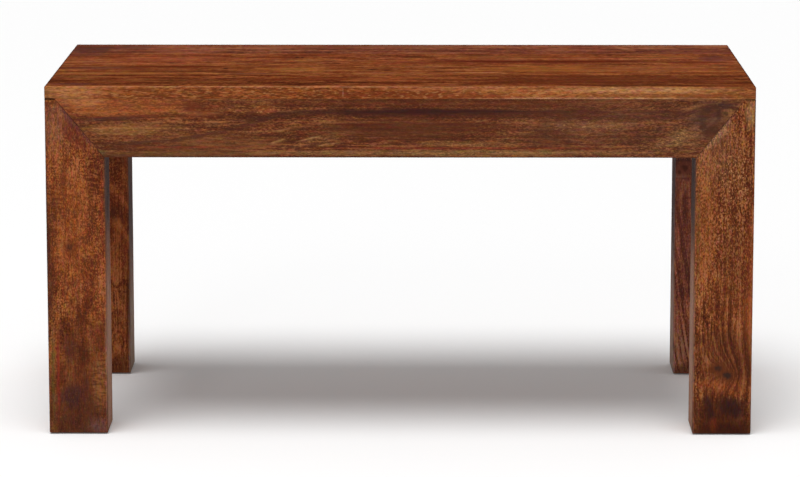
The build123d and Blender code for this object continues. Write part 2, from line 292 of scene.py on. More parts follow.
def makeGrowthRings():
    # rings round a leaning pith, wandering along the grain; X runs along the grain
    group, given, out = newGroup(
        "growthRings",
        {"Pith": (0, 0.05, -0.05), "Lean": (0, 0, 0), "Spacing": 0.006, "Wander": 0.01, "Wander Length": 0.4,
         "Pull": 0.0, "Seed": 0.0},
        ("Rings", "Bands"),
    )
    parts = newNode(group, "ShaderNodeSeparateXYZ")
    feed(group, parts.inputs[0], given["Vector"])
    drift = vectorMaths(group, "SCALE", given["Lean"], scale=parts.outputs["X"])
    centred = vectorMaths(group, "SUBTRACT", given["Vector"], given["Pith"])
    centred = vectorMaths(group, "SUBTRACT", centred, drift)
    across = commonMarks["sway"]
    stretch = shaderNode(group, "ShaderNodeCombineXYZ", {"X": given["Wander Length"], "Y": across, "Z": across})
    place = vectorMaths(group, "DIVIDE", given["Vector"], stretch)
    wave = noise(group, vectorMaths(group, "ADD", place, given["Seed"]), 3.0)
    sway = vectorMaths(group, "SUBTRACT", wave["Color"], middle)
    sway = vectorMaths(group, "SCALE", sway, scale=given["Wander"])
    flat = vectorMaths(group, "MULTIPLY", vectorMaths(group, "ADD", centred, sway), (0, 1, 1))
    radius = maths(group, "ADD", vectorMaths(group, "LENGTH", flat), given["Pull"])
    turns = maths(group, "ADD", maths(group, "DIVIDE", radius, given["Spacing"]), given["Seed"])
    slow = maths(group, "ADD", maths(group, "MULTIPLY", turns, 0.21), 7.3)  # about five rings to a band
    feed(group, out["Rings"], noise(group, None, 3.0, 0.62, w=turns)["Fac"])
    feed(group, out["Bands"], noise(group, None, 1.0, 0.4, w=slow)["Fac"])
    return group


def makeGrainMarks():
    # broken streaks, wavy flecks, cloudy mottle, curl that lies across the grain, light sparks, dark specks, open
    # pores, and hues that turn the colour redder or greener
    group, given, out = newGroup(
        "grainMarks",
        {"Streak Size": (0.1, 0.002, 0.002), "Fleck Size": (0.012, 0.0024, 0.0024),
         "Mottle Size": (0.03, 0.012, 0.012), "Hue Size": (0.02, 0.004, 0.004), "Waviness": 0.002, "Seed": 0.0},
        ("Streaks", "Flecks", "Mottle", "Curl", "Sparks", "Specks", "Pores", "Hues"), hues="Hues",
    )

    def mark(size, *figure, place=None, aside=None):
        spot = vectorMaths(group, "DIVIDE", place or waved, size)
        return noise(group, vectorMaths(group, "ADD", spot, aside) if aside else spot, *figure)

    moved = vectorMaths(group, "ADD", given["Vector"], given["Seed"])
    swirl = mark(commonMarks["swirl"], 1.0, place=moved)
    swing = vectorMaths(group, "SUBTRACT", swirl["Color"], middle)
    swing = vectorMaths(group, "SCALE", swing, scale=given["Waviness"])
    waved = vectorMaths(group, "ADD", moved, swing)
    sparks = mark(given["Fleck Size"], 1.0, aside=(5.3, 1.7, 8.1))
    masks = {
        "Streaks": mark(given["Streak Size"], 4.0, 0.62)["Fac"],
        "Flecks": mark(given["Fleck Size"], 3.0, 0.65)["Fac"],
        "Mottle": mark(given["Mottle Size"], 2.0)["Fac"],
        "Curl": mark(commonMarks["curl"], 2.0, 0.5, 0.6)["Fac"],
        "Sparks": remap(group, sparks["Fac"], *maskEdges["sparks"]),
        "Specks": remap(group, mark(commonMarks["specks"], 1.0, 0.5, 0.2)["Fac"], *maskEdges["specks"]),
        "Pores": remap(group, mark(commonMarks["pores"], 1.0, 0.4)["Fac"], *maskEdges["pores"]),
    }
    for name, mask in masks.items():
        feed(group, out[name], mask)
    hues = mark(given["Hue Size"], 3.0, 0.6, place=moved)
    swing = vectorMaths(group, "MULTIPLY", hues["Color"], (2, 2, 4))
    feed(group, out["Hues"], vectorMaths(group, "ADD", swing, (0, 0, -1)))
    return group


def makeStainOrPaintedLightPatch():
    # a darker or lighter patch with a broken edge, round a place on the piece; the mapping nodes and the
    # gradient keep the values that Cycles holds at one time few, so a piece can have many patches
    group, given, out = newGroup(
        "stainOrPaintedLightPatch",
        {"Centre": (0, 0, 0), "Reach": (0.1, 0.1, 0.1), "Turn": (0, 0, 0), "Break": 0.5},
        ("Mask",),
    )
    # halves is how far a place lies from the centre, in twice the reach
    halves = mapping(group, given["Vector"], "TEXTURE", Location=given["Centre"],
                     Rotation=vectorMaths(group, "SCALE", given["Turn"], scale=-1.0),
                     Scale=vectorMaths(group, "SCALE", given["Reach"], scale=2.0))
    ball = newNode(group, "ShaderNodeTexGradient", gradient_type="SPHERICAL")
    feed(group, ball.inputs["Vector"], halves)
    away = mapping(group, halves, Location=given["Centre"], Scale=(2, 2, 2))
    rough = noise(group, away, 3.0, 0.6, scale=breakScale["patch"])
    shift = maths(group, "SUBTRACT", rough["Fac"], 0.5)
    shift = maths(group, "MULTIPLY", shift, given["Break"])
    distance = maths(group, "MULTIPLY_ADD", ball.outputs["Fac"], -2.0, 2.0)
    distance = maths(group, "ADD", distance, shift)
    feed(group, out["Mask"], remap(group, distance, *maskEdges["patch"]))
    return group


def makeKnot():
    # a knot's dark core and its halo, and how far it pulls the rings aside
    group, given, out = newGroup(
        "knotEye",
        {"Centre": (0, 0, 0), "Size": (0.006, 0.006, 0.004), "Pull Depth": 0.01},
        ("Core", "Halo", "Pull"),
    )
    away = vectorMaths(group, "SUBTRACT", given["Vector"], given["Centre"])
    away = vectorMaths(group, "DIVIDE", away, given["Size"])
    rough = noise(group, away, 3.0, 0.6, scale=breakScale["knot"])
    shift = maths(group, "MULTIPLY", maths(group, "SUBTRACT", rough["Fac"], 0.5), knotEdge["ragged"])
    distance = maths(group, "ADD", vectorMaths(group, "LENGTH", away), shift)
    feed(group, out["Core"], remap(group, distance, *maskEdges["core"]))
    feed(group, out["Halo"], remap(group, distance, *maskEdges["halo"]))
    fall = maths(group, "EXPONENT", maths(group, "MULTIPLY", distance, knotEdge["fade"]))
    feed(group, out["Pull"], maths(group, "MULTIPLY", fall, given["Pull Depth"]))
    return group


def makeEdgeWear():
    # rubbed arrises of a square-edged piece, from its two opposite corners
    group, given, out = newGroup(
        "edgeWear",
        {"Low": (0, 0, 0), "High": (1, 1, 1), "Width": 0.002, "Seed": 0.0},
        ("Mask",),
    )
    toLow = vectorMaths(group, "SUBTRACT", given["Vector"], given["Low"])
    toHigh = vectorMaths(group, "SUBTRACT", given["High"], given["Vector"])
    parts = newNode(group, "ShaderNodeSeparateXYZ")
    feed(group, parts.inputs[0], vectorMaths(group, "MINIMUM", toLow, toHigh))
    x, y, z = parts.outputs
    least = maths(group, "MINIMUM", maths(group, "MINIMUM", x, y), z)
    most = maths(group, "MAXIMUM", maths(group, "MAXIMUM", x, y), z)
    total = maths(group, "ADD", maths(group, "ADD", x, y), z)
    second = maths(group, "SUBTRACT", maths(group, "SUBTRACT", total, least), most)
    place = vectorMaths(group, "ADD", given["Vector"], given["Seed"])
    rough = noise(group, place, 4.0, 0.65, scale=breakScale["wear"])
    reach = remap(group, rough["Fac"], *maskEdges["rubbed"], *wearReach)
    reach = maths(group, "MULTIPLY", reach, given["Width"])
    feed(group, out["Mask"], remap(group, maths(group, "DIVIDE", second, reach), *maskEdges["wear"]))
    return group


growthRings = makeGrowthRings()
grainMarks = makeGrainMarks()
stainOrPaintedLightPatch = makeStainOrPaintedLightPatch()
knotEye = makeKnot()
edgeWear = makeEdgeWear()


def useGroup(tree, group, **values):
    node = newNode(tree, "ShaderNodeGroup", node_tree=group)
    for name, value in values.items():
        feed(tree, node.inputs[name.replace("_", " ")], value)
    return node.outputs


def tone(red, green, blue):
    # screen values from 0 to 255, made linear
    channels = [value / 255 for value in (red, green, blue)]
    linear = [value / 12.92 if value <= 0.04045 else ((value + 0.055) / 1.055) ** 2.4 for value in channels]
    return (*linear, 1.0)


def metres(size):
    return tuple(number * mm for number in size) if isinstance(size, tuple) else size * mm


# how a piece's grain runs: the turn that lays it along X, and its direction
grainTurns = {
    "x": (0, 0, 0),
    "y": (0, 0, -pi / 2),
    "z": (0, pi / 2, 0),
    "rising": (0, 0, -pi / 4),
    "falling": (0, 0, pi / 4),
}
grainAxes = {
    "x": (1, 0, 0),
    "y": (0, 1, 0),
    "z": (0, 0, 1),
    "rising": (0.5 ** 0.5, 0.5 ** 0.5, 0),
    "falling": (0.5 ** 0.5, -0.5 ** 0.5, 0),
}

# what a wood has unless its own dictionary says otherwise, with sizes in mm and colours from 0 to 255
plainWood = {
    "pith": (0, 50, 30), "lean": (0, 0, 0), "spacing": 7, "wander": 12, "wanderLength": 400, "waviness": 3,
    "streakSize": (90, 2), "fleckSize": (9, 1.8), "mottleSize": (40, 14), "hueSize": (14, 3.5), "hue": 0.4,
    "rings": 0.7, "bands": 0.4, "streaks": 0.6, "flecks": 0.6, "mottle": 0.4, "curl": 0.0,
    "sparks": 0.3, "specks": 0.3, "pores": 0.4, "drift": 0.35, "driftScale": 7.0,
    "wear": 0.3, "wearWidth": 1.8, "rough": 0.7, "sheen": 0.02, "bump": 0.35,
    "patches": [], "swells": [], "knots": [],
}
sizedParts = ("pith", "spacing", "wander", "wanderLength", "waviness", "wearWidth",
              "streakSize", "fleckSize", "mottleSize", "hueSize")
toneStops = {"dark": 0.32, "deep": 0.44, "main": 0.55, "light": 0.7}  # where the figure takes each tone
figureSpan = (0.3, 0.7)  # from the darkest figure to the lightest
endGrain = {"facing": (0.55, 0.95), "shade": 0.5}
roughening = {"dark": 0.06, "light": -0.04, "pores": 0.15, "ends": 0.12}  # added to the wood's own
relief = {"pores": -1.0, "streaks": 0.8, "flecks": 0.6, "depth": 0.3 * mm}


def addSurface(tree, colour, roughness, height, strength, depth, **plain):
    # the piece's one Principled surface; plain holds what is the same all over
    bump = shaderNode(tree, "ShaderNodeBump", {"Strength": strength, "Distance": depth, "Height": height})
    changing = {"Base Color": colour, "Roughness": roughness, "Normal": bump}
    steady = {name.replace("_", " "): value for name, value in plain.items()}
    surface = shaderNode(tree, "ShaderNodeBsdfPrincipled", {**changing, **steady})
    shaderNode(tree, "ShaderNodeOutputMaterial", {"Surface": surface})


def makeWood(name, recipe, low, high):
    wood = dict(plainWood, **recipe)
    wood.update({part: metres(wood[part]) for part in sizedParts})
    wood.update({part: tone(*wood[part]) for part in (*toneStops, "tint", "knot", "spark") if part in wood})
    material, tree = newMaterial(name)
    coords = newNode(tree, "ShaderNodeTexCoord").outputs
    place = coords["Object"]
    centred = mapping(tree, place, Location=-(low + high) / 2)
    grain = mapping(tree, centred, Rotation=grainTurns[wood["grain"]])

    def share(mask, amount, clamp=False):
        return maths(tree, "MULTIPLY", mask, amount, clamp=clamp)

    def maskOf(patch):
        return useGroup(tree, stainOrPaintedLightPatch, Vector=place, Centre=patch["at"], Reach=patch["reach"],
                        Turn=patch["turn"], Break=patch["ragged"])["Mask"]

    pull = 0.0
    knots = []
    for spot in wood["knots"]:
        knot = useGroup(tree, knotEye, Vector=place, Centre=spot["at"], Size=spot["reach"],
                        Pull_Depth=spot["pull"] * mm)
        knots.append((spot, knot))
        pull = maths(tree, "ADD", knot["Pull"], pull)
    for swell in wood["swells"]:
        pull = maths(tree, "MULTIPLY_ADD", maskOf(swell), swell["lift"] * mm, pull)

    rings = useGroup(tree, growthRings, Vector=grain, Pith=wood["pith"], Lean=wood["lean"],
                     Spacing=wood["spacing"], Wander=wood["wander"], Wander_Length=wood["wanderLength"],
                     Pull=pull, Seed=wood["seed"])
    sizes = {}
    for part in ("streak", "fleck", "mottle", "hue"):
        size = wood[part + "Size"]
        sizes[part.title() + "_Size"] = (*size, size[1])[:3]
    marks = useGroup(tree, grainMarks, Vector=grain, Seed=wood["seed"] * 0.37, Waviness=wood["waviness"], **sizes)

    # patches first: each may stain the wood, put painted shade or a painted highlight on it, and stir or calm any
    # part of its figure
    shares = {part: wood[part] for part in ("rings", "bands", "streaks", "flecks", "mottle", "curl", "sparks")}
    stainsAndPaintedLight = []
    for patch in wood["patches"]:
        mask = maskOf(patch)
        if "colour" in patch:
            stainsAndPaintedLight.append((patch, mask))
        for part in shares:
            if part in patch:
                shares[part] = maths(tree, "MULTIPLY_ADD", mask, patch[part], shares[part])

    figure = 0.5
    parts = {part: marks[part.title()] for part in ("streaks", "flecks", "mottle", "curl")}
    for part, value in {"rings": rings["Rings"], "bands": rings["Bands"], **parts}.items():
        figure = maths(tree, "MULTIPLY_ADD", maths(tree, "SUBTRACT", value, 0.5), shares[part], figure)

    ramp = newNode(tree, "ShaderNodeValToRGB")
    tree.links.new(figure, ramp.inputs[0])
    stops = ramp.color_ramp.elements
    stops[0].position, stops[0].color = toneStops["dark"], wood["dark"]
    stops[1].position, stops[1].color = toneStops["light"], wood["light"]
    for part in ("deep", "main"):
        stops.new(toneStops[part]).color = wood[part]
    colour = ramp.outputs["Color"]

    drift = noise(tree, grain, 1.5, scale=wood["driftScale"])["Fac"]
    drift = remap(tree, drift, *maskEdges["drift"], 0.0, wood["drift"])
    colour = blendColour(tree, drift, colour, wood["tint"])
    wear = useGroup(tree, edgeWear, Vector=place, Low=low, High=high, Width=wood["wearWidth"], Seed=wood["seed"])
    colour = blendColour(tree, share(wear["Mask"], wood["wear"]), colour, wood["light"])
    for patch, mask in stainsAndPaintedLight:
        streaky = remap(tree, figure, *figureSpan, patch["even"], 1.0)
        colour = blendColour(tree, share(share(mask, streaky), patch["share"]), colour, patch["colour"])

    colour = blendColour(tree, wood["hue"], colour, marks["Hues"], "MULTIPLY")
    sparks = share(marks["Sparks"], shares["sparks"], clamp=True)
    colour = blendColour(tree, sparks, colour, wood.get("spark", wood["light"]))
    colour = blendColour(tree, share(marks["Specks"], wood["specks"]), colour, wood["dark"])
    for spot, knot in knots:
        colour = blendColour(tree, share(knot["Halo"], spot["halo"]), colour, wood["deep"])
        colour = blendColour(tree, share(knot["Core"], spot["core"]), colour, wood["knot"])
    colour = blendColour(tree, share(marks["Pores"], wood["pores"]), colour, wood["dark"])

    facing = vectorMaths(tree, "DOT_PRODUCT", coords["Normal"], grainAxes[wood["grain"]])
    ends = remap(tree, maths(tree, "ABSOLUTE", facing), *endGrain["facing"])
    colour = blendColour(tree, share(ends, endGrain["shade"]), colour, wood["dark"])

    roughness = remap(tree, figure, *figureSpan, *(wood["rough"] + roughening[part] for part in ("dark", "light")))
    roughness = maths(tree, "MULTIPLY_ADD", marks["Pores"], roughening["pores"], roughness)
    roughness = maths(tree, "MULTIPLY_ADD", ends, roughening["ends"], roughness)
    height = share(marks["Streaks"], relief["streaks"])
    for part in ("pores", "flecks"):
        height = maths(tree, "MULTIPLY_ADD", marks[part.title()], relief[part], height)
    addSurface(tree, colour, roughness, height, wood["bump"], relief["depth"], Specular_IOR_Level=wood["sheen"])
    return material


# Stains, painted shade and painted highlights, in mm. A patch without a colour only stirs or calms the figure

faces = {"front": -halfDepth / mm, "rearLegs": (halfDepth - legSide) / mm, "rear": halfDepth / mm}


def stainOrPaintedLight(at, reach, turn=(0, 0, 0), colour=None, share=0.0, **more):
    patch = {"at": metres(at), "reach": metres(reach), "turn": turn, "even": 0.55, "ragged": 0.7, **more}
    return dict(patch, colour=tone(*colour), share=share) if colour else patch


def onFront(x, z, across, high, colour=None, share=0.0, rise=0.0, face="front", deep=30, **more):
    # on an upright face that looks to the front; rise turns it up towards the right, in radians
    return stainOrPaintedLight((x, faces[face], z), (across, deep, high), (0, rise, 0), colour, share, **more)


def onEdge(*row, **more):
    return onFront(*row, deep=4, **more)  # stays off the seat's top


def onRearLeg(*row, **more):
    return onFront(*row, face="rearLegs", **more)


def onTop(x, y, along, wide, colour=None, share=0.0, turn=0.0, deep=12, **more):
    return stainOrPaintedLight((x, y, seatHigh.z / mm), (along, wide, deep), (0, 0, turn), colour, share, **more)


def knotOn(side, *row, pull, halo=0.45, core=0.85):
    return side(*row, deep=10, pull=pull, halo=halo, core=core)


def paintedRimShade():
    # painted shade along the upper edges at both ends of the seat, where the arrises turn away from the light
    return [onTop(end / mm, 0, 3.2, 500, (50, 31, 24), 0.8, deep=3, even=0.9, ragged=0.3)
            for end in (-halfLength, halfLength)]


def paintedSideShadeAndBounce(x, y, darkZ=320, darkReach=130, paleZ=100, pale=(180, 142, 122)):
    # painted shade and light on the inner side of a leg: dark grey above as painted shade under the seat, paler
    # below as painted light bounced from the floor
    rows = ((darkZ, darkReach, (44, 39, 42), 0.9), (paleZ, 200, pale, 0.75))
    return [stainOrPaintedLight((x, y, z), (4, 65, high), colour=colour, share=share, even=0.9)
            for z, high, colour, share in rows]


# Modelling helpers: every operator below acts on the one piece in hand


def takeInHand(piece):
    bpy.ops.object.select_all(action="DESELECT")
    piece.select_set(True)
    bpy.context.view_layer.objects.active = piece


def startBlock(name, low, high):
    bpy.ops.object.select_all(action="DESELECT")
    low, high = Vector(low), Vector(high)
    bpy.ops.mesh.primitive_cube_add(size=1, location=(low + high) / 2, scale=high - low)
    block = bpy.context.object
    block.name = name
    bpy.ops.object.transform_apply(location=True, rotation=True, scale=True)
    return block


def startPicking(kind):
    bpy.ops.object.mode_set(mode="EDIT")
    bpy.ops.mesh.select_mode(type=kind)
    bpy.ops.mesh.select_all(action="DESELECT")
    bpy.ops.object.mode_set(mode="OBJECT")


def pickEdges(piece, wanted):
    startPicking("EDGE")
    for edge in piece.data.edges:
        first, second = (piece.data.vertices[index].co for index in edge.vertices)
        edge.select = wanted((first + second) / 2, (second - first).normalized())
    bpy.ops.object.mode_set(mode="EDIT")


def pickFaces(piece, wanted):
    startPicking("FACE")
    for face in piece.data.polygons:
        face.select = wanted(face.center, face.normal)
    bpy.ops.object.mode_set(mode="EDIT")


def easeEdges(piece, width, rounds, wanted):
    pickEdges(piece, wanted)
    bpy.ops.mesh.bevel(offset=width, offset_type="OFFSET", segments=rounds, affect="EDGES")
    bpy.ops.object.mode_set(mode="OBJECT")


def cutAcross(piece, point, normal, dropOuter=False):
    bpy.ops.object.mode_set(mode="EDIT")
    bpy.ops.mesh.select_all(action="SELECT")
    bpy.ops.mesh.bisect(plane_co=point, plane_no=normal, use_fill=dropOuter, clear_outer=dropOuter)
    bpy.ops.object.mode_set(mode="OBJECT")


planing = {
    "waveLength": 110 * mm,
    "step": 30 * mm,
    "depth": 0.22 * mm,
}
planingWave = bpy.data.textures.new("planingWave", "CLOUDS")
planingWave.noise_scale = planing["waveLength"]
planingWave.noise_depth = 1


def planeFaces(piece, axis, wanted=None):
    # cut along the length into short lengths, then let the wanted faces wander as a planed face does
    length = Vector([1 if name == axis else 0 for name in "xyz"])
    spots = [vertex.co.dot(length) for vertex in piece.data.vertices]
    low, high = min(spots), max(spots)
    count = int((high - low) / planing["step"])
    for index in range(1, count):
        cutAcross(piece, length * (low + (high - low) * index / count), length)
    wave = piece.modifiers.new("planing", "DISPLACE")
    wave.texture = planingWave
    wave.texture_coords = "LOCAL"
    wave.strength = planing["depth"]
    wave.mid_level = 1  # only inwards
    if wanted:
        planed = piece.vertex_groups.new(name="planed")
        planed.add([vertex.index for vertex in piece.data.vertices if wanted(vertex.co)], 1.0, "REPLACE")
        wave.vertex_group = planed.name
    bpy.ops.object.modifier_apply(modifier=wave.name)
    piece.vertex_groups.clear()


def dress(piece, material):
    piece.data.materials.clear()
    piece.data.materials.append(material)


def finishPiece(piece, node, wood):
    bpy.ops.object.mode_set(mode="OBJECT")
    bpy.ops.object.shade_smooth_by_angle(angle=smoothBelow)
    even = piece.modifiers.new("evenShading", "WEIGHTED_NORMAL")
    even.keep_sharp = True
    bpy.ops.object.modifier_apply(modifier=even.name)
    dress(piece, makeWood(piece.name + "Wood", wood, *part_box(node)))
    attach(piece, "root")
    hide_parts(node)


# Seat boards

seatShape = {
    "arris": 1.5 * mm,
    "lowerArris": 0.4 * mm,
    "seam": 0.2 * mm,
    "rounds": 4,
}

boardWood = {
    "grain": "x", "wanderLength": 300, "rings": 0.6, "bands": 0.35, "streaks": 0.55, "flecks": 0.8, "mottle": 0.7,
    "streakSize": (50, 6.5), "fleckSize": (7, 5, 1.5), "mottleSize": (55, 18), "hueSize": (12, 10, 3),
    "hue": 0.45, "sheen": 0.0, "knot": (40, 22, 18),
}

boardFrontStainsAndPaintedLight = [
    onEdge(-300, 442, 300, 20, (144, 80, 42), 0.6, flecks=1.9, sparks=0.3),
    onEdge(0, 442, 300, 20, (134, 68, 33), 0.5, flecks=2.0, sparks=0.3),
    onEdge(300, 442, 320, 20, (166, 103, 57), 0.7, flecks=1.9, sparks=0.35),
    onEdge(-420, 441, 60, 20, (184, 126, 78), 0.55),
    onEdge(-20, 439.5, 120, 6, (112, 56, 30), 0.6),
    onEdge(100, 437, 100, 5, (128, 54, 30), 0.5),
    onEdge(80, 446.5, 120, 4, (172, 108, 66), 0.6),
    onEdge(310, 446, 150, 6, (192, 138, 92), 0.65, flecks=0.5),
    onEdge(310, 438.5, 140, 4, (138, 79, 44), 0.5),
    onEdge(250, 434.5, 220, 2.5, (190, 140, 104), 0.65),
    onEdge(-72, 443, 1.5, 9, (190, 150, 120), 0.3),
    # painted highlight along the front top arris of the seat
    onFront(-100, 449.9, 500, 1.6, (202, 142, 100), 0.5, deep=3, ragged=1.5),
    # painted shadow in the gap between the seat's underside and the top of the left leg
    onFront(-450, 434.2, 25, 1.3, (34, 12, 6), 0.8, even=1.0),
    onTop(-420, -130, 50, 30, (112, 70, 40), 0.5),
    onTop(-300, -170, 140, 30, (108, 62, 32), 0.5),
    onTop(-413, -202.5, 50, 16, (84, 46, 44), 0.75),
    onTop(-125, -205.5, 70, 7, (56, 25, 14), 0.95),
    onTop(-110, -150, 60, 20, (98, 34, 16), 0.6),
    onTop(0, -150, 130, 40, (138, 70, 38), 0.55),
    onTop(54, -199, 45, 5, (164, 102, 64), 0.7),
    onTop(84, -209, 20, 6, (52, 24, 14), 0.85),
    onTop(280, -160, 240, 80, (97, 46, 25), 0.8, even=0.7, flecks=0.5),
    onTop(170, -117, 160, 11, (86, 35, 16), 0.75),
    onTop(150, -165, 60, 16, (84, 38, 19), 0.6),
    onTop(320, -209, 150, 10, (68, 32, 18), 0.8),
    onTop(400, -170, 50, 20, (126, 68, 40), 0.4),
]
boardFrontWood = {
    **boardWood, "seed": 3.1, "pith": (0, -160, -90), "lean": (0, 0.02, 0), "spacing": 4.2, "streaks": 0.6,
    # the wear is raised on this board so that its rubbed arrises also give a painted highlight along the front
    # arris
    "mottle": 0.75, "spark": (184, 130, 82), "sparks": 0.05, "wear": 0.5, "wearWidth": 1.1,
    "dark": (64, 27, 14), "deep": (90, 42, 21), "main": (114, 58, 30), "light": (152, 90, 48),
    "tint": (108, 46, 23), "patches": boardFrontStainsAndPaintedLight,
}

boardFrontMiddleStains = [
    onTop(-300, -22, 150, 15, (82, 31, 16), 0.9, even=0.8),
    onTop(-410, -38, 80, 26, (90, 52, 44), 0.7),
    onTop(-280, -70, 140, 13, (78, 34, 19), 0.9, even=0.8),
    onTop(-300, -48, 100, 7, (118, 60, 42), 0.5),
    onTop(-380, -94, 120, 16, (142, 88, 45), 0.7),
    onTop(-255, -90, 30, 7, (180, 114, 62), 0.85),
    onTop(-150, -48, 70, 24, (156, 100, 47), 0.65),
    onTop(-190, -96, 55, 12, (92, 50, 42), 0.75),
    onTop(-84, -10, 30, 4, (84, 38, 20), 0.7),
    onTop(-14, -88.5, 70, 6, (170, 110, 70), 0.6),
    onTop(35, -22, 35, 14, (162, 100, 64), 0.6),
    onTop(60, -32, 12, 5, (70, 32, 18), 0.9, turn=-0.7),
    onTop(30, -54, 30, 5, (90, 42, 24), 0.75),
    onTop(100, -83, 55, 6, (180, 120, 78), 0.8),
    onTop(190, -45, 120, 45, (146, 88, 40), 0.62, even=0.8),
    onTop(340, -40, 140, 45, (142, 81, 47), 0.58, even=0.8),
    onTop(256, -40, 30, 5, (96, 36, 20), 0.9),
    onTop(425, -6, 25, 9, (70, 36, 26), 0.8),
]
boardFrontMiddleWood = {
    **boardWood, "seed": 11.7, "pith": (0, 90, -120), "spacing": 4.6, "wander": 10, "wanderLength": 350,
    "sparks": 0.08, "dark": (88, 40, 21), "deep": (113, 58, 30), "main": (131, 72, 39), "light": (162, 102, 56),
    "tint": (124, 60, 30), "knot": (44, 25, 20), "patches": boardFrontMiddleStains,
    "knots": [
        knotOn(onTop, -230, -41, 5, 7, pull=6),
        knotOn(onTop, -37, -52.3, 10, 7, pull=4),
        knotOn(onTop, -18, -59.5, 10, 5, pull=4, core=0.7),
        knotOn(onTop, 48, -70, 12, 4, pull=6, core=0.6),
    ],
}

boardRearMiddleStains = [
    onTop(-320, 5, 200, 6, (178, 106, 66), 0.7),
    onTop(-300, 60, 120, 50, (148, 76, 50), 0.5),
    onTop(-420, 30, 50, 20, (146, 86, 60), 0.5),
    onTop(-430, 108, 50, 30, (98, 58, 50), 0.6, ragged=1.2),
    onTop(-200, 30, 40, 20, (100, 46, 26), 0.5),
    onTop(-125, 45, 35, 25, (150, 96, 54), 0.6),
    onTop(-30, 30, 50, 10, (98, 42, 24), 0.6),
    onTop(200, 34, 260, 23, (82, 29, 16), 0.92, even=0.85),
    onTop(380, 30, 70, 12, (92, 40, 26), 0.7),
    onTop(120, 85, 120, 30, (146, 84, 42), 0.55),
    onTop(350, 85, 60, 35, (158, 94, 52), 0.65),
    onTop(420, 65, 30, 50, (88, 48, 48), 0.65, ragged=1.2),
]
boardRearMiddleWood = {
    **boardWood, "seed": 23.9, "pith": (0, -80, -150), "spacing": 4, "wander": 16, "sparks": 0.1,
    "streakSize": (45, 8), "fleckSize": (7, 6, 1.5), "mottleSize": (50, 20), "hueSize": (12, 11, 3),
    "dark": (80, 37, 21), "deep": (105, 52, 29), "main": (126, 66, 37), "light": (156, 94, 54),
    "tint": (128, 57, 31), "patches": boardRearMiddleStains,
    "knots": [
        knotOn(onTop, -139.7, 78.6, 4.5, 9, pull=8, core=0.75),
        knotOn(onTop, -133, 78.7, 3, 7, pull=4, core=0.75),
    ],
}

boardRearStainsAndPaintedShade = [
    onTop(-430, 170, 55, 80, (60, 37, 37), 0.8, even=0.3, ragged=1.3),
    onTop(-370, 190, 50, 30, (80, 46, 44), 0.6, ragged=1.3),
    onTop(-300, 150, 60, 40, (156, 88, 62), 0.5),
    onTop(-50, 200, 200, 20, (90, 44, 34), 0.5),
    onTop(305, 178, 34, 12, (176, 110, 74), 0.65, turn=1.07, ragged=1.2),
    onTop(390, 150, 80, 50, (104, 54, 42), 0.5),
    onEdge(0, 442, 600, 20, (116, 62, 35), 0.6, face="rear"),
    # painted shade along the seat's rear arris
    onTop(0, 225, 700, 11, (54, 33, 22), 0.85, even=0.9, ragged=0.3),
]
boardRearWood = {
    **boardWood, "seed": 37.3, "pith": (0, 50, -200), "spacing": 4.6, "wander": 20, "wanderLength": 250,
    "sparks": 0.1, "streakSize": (40, 9), "fleckSize": (7, 7, 1.5), "mottleSize": (50, 22),
    "hueSize": (12, 12, 3), "dark": (76, 38, 27), "deep": (101, 52, 36), "main": (120, 66, 44),
    "light": (148, 91, 62), "tint": (122, 60, 40), "patches": boardRearStainsAndPaintedShade,
}

boards = {
    "top_board_front": ("seatFrontBoard", boardFrontWood),
    "top_board_front_middle": ("seatFrontMiddleBoard", boardFrontMiddleWood),
    "top_board_rear_middle": ("seatRearMiddleBoard", boardRearMiddleWood),
    "top_board_rear": ("seatRearBoard", boardRearWood),
}


def makeBoard(node, name, wood, shape):
    low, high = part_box(node)
    board = startBlock(name, low, high)

    def outerEdge(middle, run):
        atEnd = abs(abs(middle.x) - halfLength) < near
        atSide = abs(abs(middle.y) - halfDepth) < near
        upright = abs(run.z) > straight
        return (atEnd and atSide) if upright else (atEnd or atSide)

    def seamEdge(middle, run):
        atSeam = abs(abs(middle.y) - halfDepth) > 4 * shape["arris"]
        return atSeam and abs(run.x) > straight and middle.z > seatUnderside + near

    easeEdges(board, shape["arris"], shape["rounds"],
              lambda middle, run: outerEdge(middle, run) and middle.z > seatUnderside + near)
    easeEdges(board, shape["lowerArris"], 2,
              lambda middle, run: middle.z < seatUnderside + near and outerEdge(middle, run))
    easeEdges(board, shape["seam"], 1, seamEdge)
    seams = [y for y in (low.y, high.y) if abs(abs(y) - halfDepth) > near]  # these stay closed
    planeFaces(board, "x", lambda place: all(abs(place.y - seam) > near for seam in seams))
    # every board also gets painted shade along its upper end edges
    finishPiece(board, node, dict(wood, patches=wood["patches"] + paintedRimShade()))


for node, (name, wood) in boards.items():
    makeBoard(node, name, wood, seatShape)
print("seat boards made")

# Legs

legShape = {
    "arris": 1.5 * mm,
    "foot": 1.0 * mm,
    "seam": 0.4 * mm,
    "gap": 0.1 * mm,
    "rounds": 4,
}

